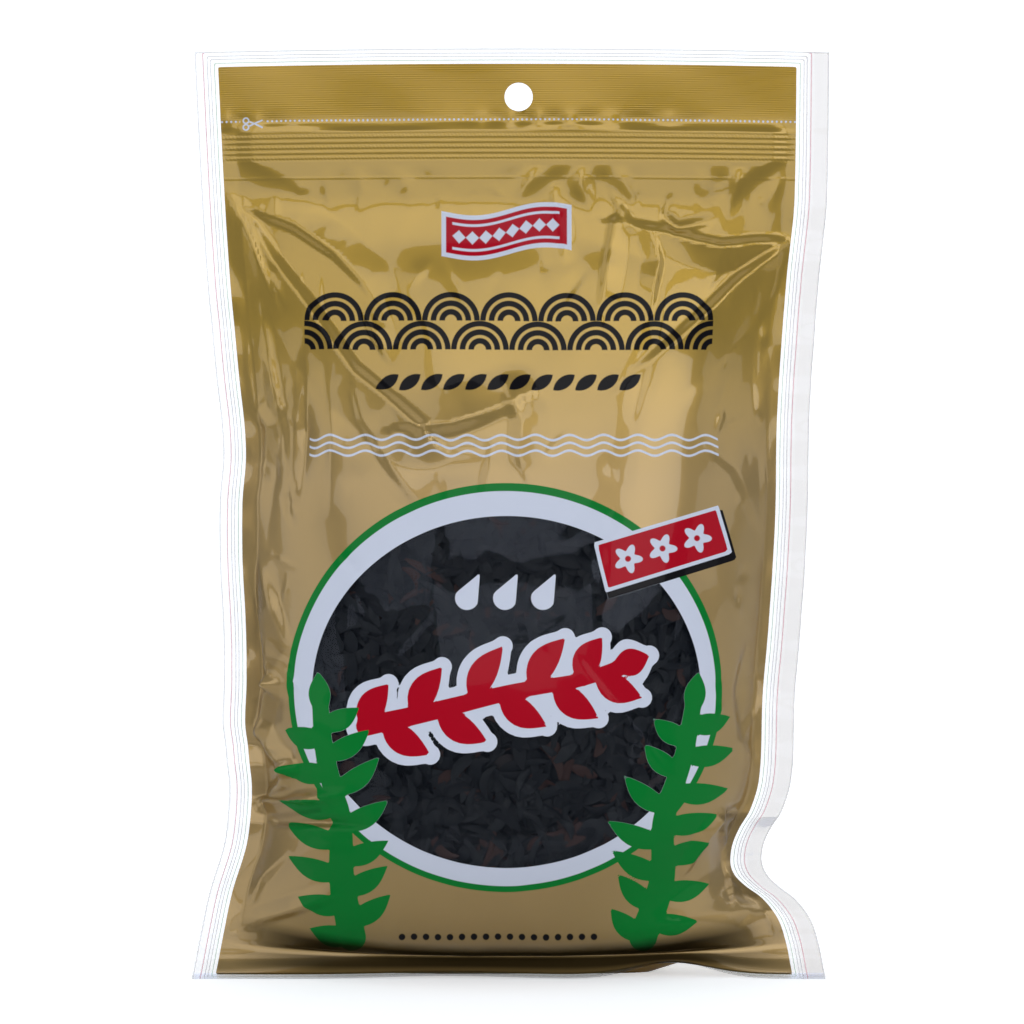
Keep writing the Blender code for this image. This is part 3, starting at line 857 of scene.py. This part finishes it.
def scissors(n, x, y):
    """The cut-here sign: two crossing blades and two ring handles."""
    blades = (((250, 122), (262, 127.5)), ((250, 126), (262, 120.5)))
    shapes = [n.bar(x, y, start, end, 0.8) for start, end in blades]
    for centre in ((246, 120.8), (246, 127.4)):
        away = n.length(n.less(x, centre[0]), n.less(y, centre[1]))
        shapes.append(n.less(0.75, n.size(n.less(away, 2.7))))
    depth = shapes[0]
    for shape in shapes[1:]:
        depth = n.most(depth, shape)
    return n.edge(depth, 0.8)


def printed(n, x, y, web_s, web_w):
    """The front's inks as they are laid: those that leave the window bare, and those over it."""
    badge, badge_marks = ribbon(n, x, y)
    dot = n.less(TEAR_DOT, n.length(n.cell(web_s, TEAR_FIRST, TEAR_PITCH), n.less(web_w, TEAR_LINE)))
    tear_line = n.times(n.edge(dot, 0.2), n.less(1, n.edge(n.within(x, *TEAR_GAP))))
    under = [
        (scale_band(n, x, y), "black"),
        (leaf_row(n, x, y), "black"),
        (dot_row(n, x, y), "black"),
        (ripples(n, x, y), "white"),
        (n.edge(n.plus(badge, 4.5)), "white"),
        (n.edge(badge), "red"),
        (badge_marks, "white"),
        (scissors(n, x, y), "white"),
        (n.ink("rim"), "green"),
        (n.ink("ring"), "white"),
    ]
    over = [
        (n.ink("outline"), "white"),
        (n.ink("red"), "red"),
        (n.ink("white"), "white"),
        (n.ink("shade"), "black"),
        (n.ink("tag_edge"), "white"),
        (n.ink("tag"), "red"),
        (blossoms(n, x, y), "white"),
        (n.ink("kelp"), "green"),
        (tear_line, "white"),
    ]
    return under, over


def fine_lines(n, gold):
    """The hairlines past the gold and the film's cut rim: where, their colour and how far they cover."""
    bare = n.less(1, gold)
    past = n.times(n.attribute("gold"), -1)
    lines = []
    for away, width, tint in HAIRLINES:
        gap = n.size(n.less(past, away))
        line = n.times(n.less(width / 2 + 0.06, gap), 8, clamp=True)
        lines.append((n.times(line, bare), tint, 0.5))
    lines.append((n.edge(n.less(0.3, n.attribute("edge")), 0.2), RIM_COLOUR, 0.35))
    return lines


def seal_marks(n, s, w):
    """Height of the sealing bars' marks: a sine along w on the weld, slanted sines in rows, and a line."""
    crimp = n.sine(n.times(w, 2 * math.pi / CRIMP_PITCH))
    crimp = n.times(crimp, n.edge(n.within(w, *CRIMP_BAND), 4))
    teeth = n.sine(n.plus(n.times(s, 2 * math.pi / TEETH_PITCH), n.times(w, 2)))
    rows = n.zigzag(n.less(w, TEETH_ROWS[0]), TEETH_ROWS[1])
    teeth = n.times(teeth, n.edge(n.less(0.5, rows), 0.5))
    teeth = n.times(teeth, n.edge(n.within(w, *TEETH_BAND)))
    weld = n.edge(n.less(0.35, n.size(n.less(w, WELD_LINE))), 0.5)
    return n.plus(crimp, n.plus(teeth, n.times(weld, 1.6)))


def clear_film(n, web_s):
    """The bare film: light passes it, and a share that grows towards grazing is mirrored."""
    clear = n.node("ShaderNodeBsdfTransparent")
    n.put(clear.inputs[0], n.mix(n.edge(n.within(web_s, *HAZE_BAND), 4), CLEAR, HAZE))
    gloss = n.node("ShaderNodeBsdfGlossy")
    n.put(gloss.inputs["Color"], (0.72, 0.8, 1))
    n.put(gloss.inputs["Roughness"], 0.03)
    fresnel = n.node("ShaderNodeFresnel")
    n.put(fresnel.inputs[0], 1.5)
    return n.mix_shaders(n.times(fresnel.outputs[0], 0.35), clear.outputs[0], gloss.outputs[0])


def film_material(name, front):
    """A clear laminate printed on its inside: gold with the inks over it, left bare at the window and
    past the gold's edge, where only fine register lines are printed."""
    n = Nodes(name)
    gold = n.ink("gold", 0.16)
    web_s, web_w = n.place("Web")
    # Painted light: the gold turns paler low down on the belly
    pale = n.over(n.less(PALE_RAMP[1], web_w), PALE_RAMP[1] - PALE_RAMP[0], clamp=True)
    rich = n.over(n.less(web_w, RICH_RAMP[0]), RICH_RAMP[1] - RICH_RAMP[0], clamp=True)
    colour, metal = n.mix(rich, n.mix(pale, GOLD, PALE_GOLD), RICH_GOLD), 1
    if front:
        under, over = printed(n, *n.place("View"), web_s, web_w)
        covered = n.less(1, n.ink("window"))
        for factor, _ in over:
            covered = n.most(covered, factor)
        opaque = n.times(covered, gold)
    else:
        under, over, opaque = [(n.ink("panel", 0.3), "panel")], [], gold
    for factor, ink in under + over:
        colour = n.mix(factor, colour, INKS[ink])
        metal = n.mix_value(factor, metal, 0)
    for factor, tint, cover in fine_lines(n, gold):
        colour = n.mix(factor, colour, tint)
        metal = n.mix_value(factor, metal, 0)
        opaque = n.most(opaque, n.times(factor, cover))
    bump = n.node("ShaderNodeBump")
    n.put(bump.inputs["Strength"], 1)
    n.put(bump.inputs["Distance"], BUMP_HEIGHT * MM)
    n.put(bump.inputs["Height"], seal_marks(n, web_s, web_w))
    n.look(Normal=bump.outputs[0], Coat_Normal=bump.outputs[0])
    coat = n.mix_value(metal, 0.15, 1)
    if front:
        # Painted shade: the front's colour and coat are darkened by the painted shade attribute, under the
        # belly, on the bottom strip and in the side folds
        light = n.less(1, n.times(n.attribute("painted_shade"), 0.93))
        colour = n.mix(light, (0, 0, 0), colour)
        coat = n.times(coat, light)
    n.look(Base_Color=colour, Metallic=n.times(metal, 0.5), Roughness=0.28, Specular_IOR_Level=0.06)
    n.look(Coat_Weight=coat, Coat_Roughness=0.03)
    whole = n.mix_shaders(opaque, clear_film(n, web_s), n.shader.outputs[0])
    n.put(n.out.inputs[0], whole)
    return n.material


# Painted shade on the facets of the sharpest side folds, in pixels of the view: how dark, and their corners
FOLD_SHADES = (
    (0.3, ((254, 545), (272, 592), (287, 650), (273, 682))),
    (0.15, ((252, 600), (258, 590), (259, 650), (253, 664))),
    (0.2, ((252, 700), (268, 688), (262, 728), (251, 724))),
    (0.3, ((272, 686), (284, 700), (283, 722), (262, 730))),
    (0.3, ((264, 745), (286, 769), (283, 776), (268, 764))),
    (0.2, ((253, 780), (280, 778), (279, 793), (254, 797))),
    (0.35, ((270, 813), (322, 807), (322, 813), (272, 821))),
    (0.4, ((716, 813), (759, 812), (738, 859), (727, 862))),
    (0.4, ((727, 866), (738, 862), (764, 891), (756, 899), (732, 894))),
)


def painted_shade_share(s, w, px, py):
    """How dark the front is painted, from 0 to 1, as painted shade: on the film turned under the belly and
    on the bottom strip, fading to the sides, and a little low on the left and in the side folds."""
    folded = np.zeros(s.shape)
    for dark, corners in FOLD_SHADES:
        folded = np.maximum(folded, dark * unit(inside_outline(px, py, corners) / 3 + 0.3))
    across = unit(1.12 - np.abs(2 * s / WEB_WIDTH - 1) ** 5 * 1.6)
    # Painted shade under the belly's overhang and on the bottom strip, and a painted soft shadow of the
    # belly low on the left
    under = unit((w - BOTTOM_SEAL - 0.3) / 0.7) * unit((25 - w) / 6)
    strip = 0.86 * unit((w - 3.6) / 3) * unit((BOTTOM_SEAL - 0.6 - w) / 0.8)
    low = 0.2 * unit((82 - w) / 40) * unit((165 - s) / 45)
    return np.maximum(across * np.maximum(under, strip), np.maximum(low, folded))


# The back's bare panel: middle and half size on the flat web
PANEL = (91, 150, 55, 75)

front, px, py, s, w = film("front_web", True)
# Painted shade under the belly, on the bottom strip and in the side folds, kept on the front as an
# attribute
keep(front, "painted_shade", painted_shade_share(s, w, px, py))
for layer, inside in print_layers(px, py).items():
    keep(front, layer, inside)
front.data.materials.append(film_material("front_print", True))
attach(front, "root")
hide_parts("front_film")

back, px, py, s, w = film("back_web", False)
keep(back, "panel", np.minimum(PANEL[2] - np.abs(s - PANEL[0]), PANEL[3] - np.abs(w - PANEL[1])))
back.data.materials.append(film_material("back_print", False))
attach(back, "root")
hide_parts("back_film")


def sampled(grid, s, w):
    """A grid's value at places on the flat web, from the four points around."""
    i, j = (np.interp(at, line, np.arange(len(line))) for at, line in ((w, UP), (s, ACROSS)))
    i0, j0 = np.minimum(i.astype(int), len(UP) - 2), np.minimum(j.astype(int), len(ACROSS) - 2)
    a, b = (i - i0)[..., None], (j - j0)[..., None]
    low = grid[i0, j0] * (1 - b) + grid[i0, j0 + 1] * b
    high = grid[i0 + 1, j0] * (1 - b) + grid[i0 + 1, j0 + 1] * b
    return low * (1 - a) + high * a


# The filling: its upper end, the core's lower end, steps and depths behind the web, and the flakes' lower
# end, rows and columns of points, lengths, widths and depths
FILL_TOP = 190
CORE_BOTTOM = 26
CORE_STEPS = (60, 66)
CORE_DEPTHS = (5.4, 7)
FLAKES_BOTTOM = 30
FLAKE_ROWS = 7
FLAKE_COLUMNS = 3
FLAKE_LENGTHS = (5, 15)
FLAKE_WIDTHS = (1.6, 4.4)
FLAKE_DEPTHS = (0.9, 5)


def behind(front, s, w, depth):
    """Points at the given depths behind a web's own surface, along its normals."""
    points = GRIDS[front][2]
    inward = normals_of(points) * (-1 if front else 1)
    return (sampled(points, s, w) + sampled(inward, s, w) * depth[..., None]).reshape(-1, 3)


def each(values):
    """One value per flake, for all the points of its grid."""
    return values[:, None, None]


def flakes(front, count, seed):
    """Curled flakes behind a web: each a strip that narrows to its ends, bent by a parabola both ways, its
    edges frilled by a sine, turned at random and set at a random depth behind the web."""
    random = np.random.default_rng(seed)
    s = random.uniform(LEFT_SEAL + 9, WEB_WIDTH - RIGHT_SEAL - 9, count)
    w = random.uniform(FLAKES_BOTTOM, FILL_TOP, count)
    length, width = random.uniform(*FLAKE_LENGTHS, count), random.uniform(*FLAKE_WIDTHS, count)
    turn, bend = random.uniform(0, 2 * math.pi, count), random.normal(0, 0.9, count)
    depth = random.uniform(*FLAKE_DEPTHS, count)
    tilt = random.normal(0, 0.16, count)
    bow, trough = random.uniform(-1.1, 1.6, count), random.uniform(-0.7, 0.9, count)
    t = np.linspace(-0.5, 0.5, FLAKE_ROWS)[None, :, None]
    e = np.linspace(-0.5, 0.5, FLAKE_COLUMNS)[None, None, :]
    narrow = 1 - 0.75 * np.abs(2 * t) ** 2.4
    frill = 0.35 * np.sin(9 * t + each(turn) * 3) * np.sign(e)
    angle = each(turn) + each(bend) * t
    along_flake, across_flake = t * each(length), e * narrow * each(width)
    ds = along_flake * np.cos(angle) - across_flake * np.sin(angle)
    dw = along_flake * np.sin(angle) + across_flake * np.cos(angle)
    lower = each(depth) + along_flake * each(tilt) + each(bow) * (4 * t * t - 0.4) * 0.8
    lower = lower + each(trough) * (4 * e * e - 0.4) * 0.7 + frill * 0.6
    lower = np.maximum(lower, 0.35 + 0.12 * np.abs(frill))
    s, w = np.clip(each(s) + ds, 0, WEB_WIDTH), np.clip(each(w) + dw, 0, WEB_HEIGHT)
    size = FLAKE_ROWS * FLAKE_COLUMNS
    faces = grid_faces(FLAKE_ROWS, FLAKE_COLUMNS)[None] + each(np.arange(count) * size)
    return behind(front, s, w, lower), faces.reshape(-1, 4), np.repeat(random.random(count), size)


def packed_core(front):
    """The dense heap under the flakes: the web's own surface set back by a random depth."""
    random = np.random.default_rng(5)
    across = np.linspace(LEFT_SEAL + 8, WEB_WIDTH - RIGHT_SEAL - 8, CORE_STEPS[0])
    s, w = np.meshgrid(across, np.linspace(CORE_BOTTOM, FILL_TOP, CORE_STEPS[1]))
    rough = random.uniform(*CORE_DEPTHS, s.shape)
    return behind(front, s, w, rough), grid_faces(*s.shape), np.full(s.size, 0.15)


def joined(parts):
    """Several (points, faces, tones) as one."""
    points, faces, tones = zip(*parts)
    starts = np.cumsum([0] + [len(part) for part in points[:-1]])
    faces = [part + start for part, start in zip(faces, starts)]
    return np.concatenate(points), np.concatenate(faces), np.concatenate(tones)


def wakame_material():
    n = Nodes("dried_wakame")
    tone = n.attribute("tone")
    noise = n.node("ShaderNodeTexNoise")
    where = n.node("ShaderNodeTexCoord")
    n.put(noise.inputs["Vector"], where.outputs["Object"])
    n.put(noise.inputs["Scale"], 400)
    shade = n.times(n.times(tone, noise.outputs[0]), 1.6)
    colour = n.mix(shade, (0.002, 0.003, 0.005), (0.015, 0.017, 0.019))
    brown = n.edge(n.less(tone, 0.93), 0.02)
    colour = n.mix(brown, colour, (0.03, 0.014, 0.011))
    n.look(Base_Color=colour, Roughness=0.5, Specular_IOR_Level=0.16)
    return n.material


points, faces, tone = joined([
    packed_core(True), packed_core(False), flakes(True, 4600, 1), flakes(False, 1200, 2),
])
wakame = mesh_from("wakame_flakes", points, faces)
keep(wakame, "tone", tone)
wakame.data.materials.append(wakame_material())
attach(wakame, "root")
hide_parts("wakame")

for name in ("zip_rib", "zip_groove"):
    n = Nodes(name + "_plastic")
    n.look(Base_Color=(0.82, 0.83, 0.8), Roughness=0.35)
    strip = bpy.data.objects[name]
    strip.data.materials.clear()
    strip.data.materials.append(n.material)


# The area lights: name, place, size in metres, radiance, and aim where it isn't the pouch
LIGHTS = (
    ("front_left_box", (-1, -1.7, 0.95), (1.2, 1.2), 1.15),
    ("front_mid_box", (0.1, -1.9, 1.05), (0.9, 0.8), 1.75),
    ("front_right_box", (1.1, -1.75, 0.9), (0.9, 1.2), 2.1),
    ("eye_box", (0.05, -2.4, 0.36), (1.3, 0.52), 1.5),
    ("left_box", (-1.5, -0.5, 0.6), (0.9, 1.3), 0.9, (0, 0, 0.12)),
    ("right_box", (1.5, -0.6, 0.7), (0.9, 1.3), 0.7, (0, 0, 0.12)),
    ("top_box", (0, 0.3, 1.9), (2.4, 1.6), 0.45, (0, 0.2, 0)),
    ("back_box", (0, 0.3, 1.6), (2.6, 0.8), 0.9, (0, 1.5, 0.6)),
)


def sweep():
    """A pale floor that turns up into a backdrop by a quarter circle, the same all along X, in metres. It
    glows a little for the camera alone, as a backdrop cleaned to white does."""
    front_end, turn_begins, radius, wall_top, half_width = -0.3, 0.9, 0.7, 3.2, 3
    angle = np.linspace(0, math.pi / 2, 17)
    y = np.concatenate([[front_end], turn_begins + radius * np.sin(angle), [turn_begins + radius]])
    z = np.concatenate([[0], radius - radius * np.cos(angle), [wall_top]])
    sides = [np.stack([np.full(len(y), x), y, z], axis=-1) for x in (-half_width, half_width)]
    floor = mesh_from("backdrop", np.stack(sides, axis=1).reshape(-1, 3) / MM, grid_faces(len(y), 2))
    n = Nodes("backdrop_paper")
    seen = n.node("ShaderNodeLightPath").outputs["Is Camera Ray"]
    n.look(Base_Color=(0.93, 0.93, 0.93), Roughness=0.8, Specular_IOR_Level=0.1)
    n.look(Emission_Color=(1, 1, 1), Emission_Strength=n.times(seen, 0.47))
    floor.data.materials.append(n.material)
    return floor


def softbox(name, place, size, radiance, aim=(0, 0, 0.15)):
    """An area light of the given radiance that faces its aim."""
    light = bpy.data.lights.new(name, "AREA")
    light.shape = "RECTANGLE"
    light.size, light.size_y = size
    light.energy = radiance * math.pi * size[0] * size[1]
    lamp = linked(name, light)
    lamp.location = place
    lamp.rotation_euler = (Vector(aim) - Vector(place)).to_track_quat("-Z", "Y").to_euler()
    return lamp


stage = [sweep()] + [softbox(*light) for light in LIGHTS]
world = bpy.data.worlds.new("room")
world.use_nodes = True
sky = world.node_tree.nodes["Background"]
sky.inputs["Color"].default_value = (0.7, 0.82, 1, 1)
sky.inputs["Strength"].default_value = 0.33
bpy.context.scene.world = world
bpy.context.scene.view_settings.view_transform = "Standard"

camera = linked("camera", bpy.data.cameras.new("camera"))
camera.data.sensor_width = SENSOR
camera.data.lens = SENSOR * VIEW_DISTANCE / (PICTURE * PIXEL)
camera.location = (
    VIEW_MIDDLE[0] * MM,
    -VIEW_DISTANCE * math.cos(VIEW_RISE) * MM,
    (VIEW_MIDDLE[2] + VIEW_DISTANCE * math.sin(VIEW_RISE)) * MM,
)
camera.rotation_euler = (math.pi / 2 - VIEW_RISE, 0, 0)
camera.data.clip_end = 20
bpy.context.scene.camera = camera
stage.append(camera)
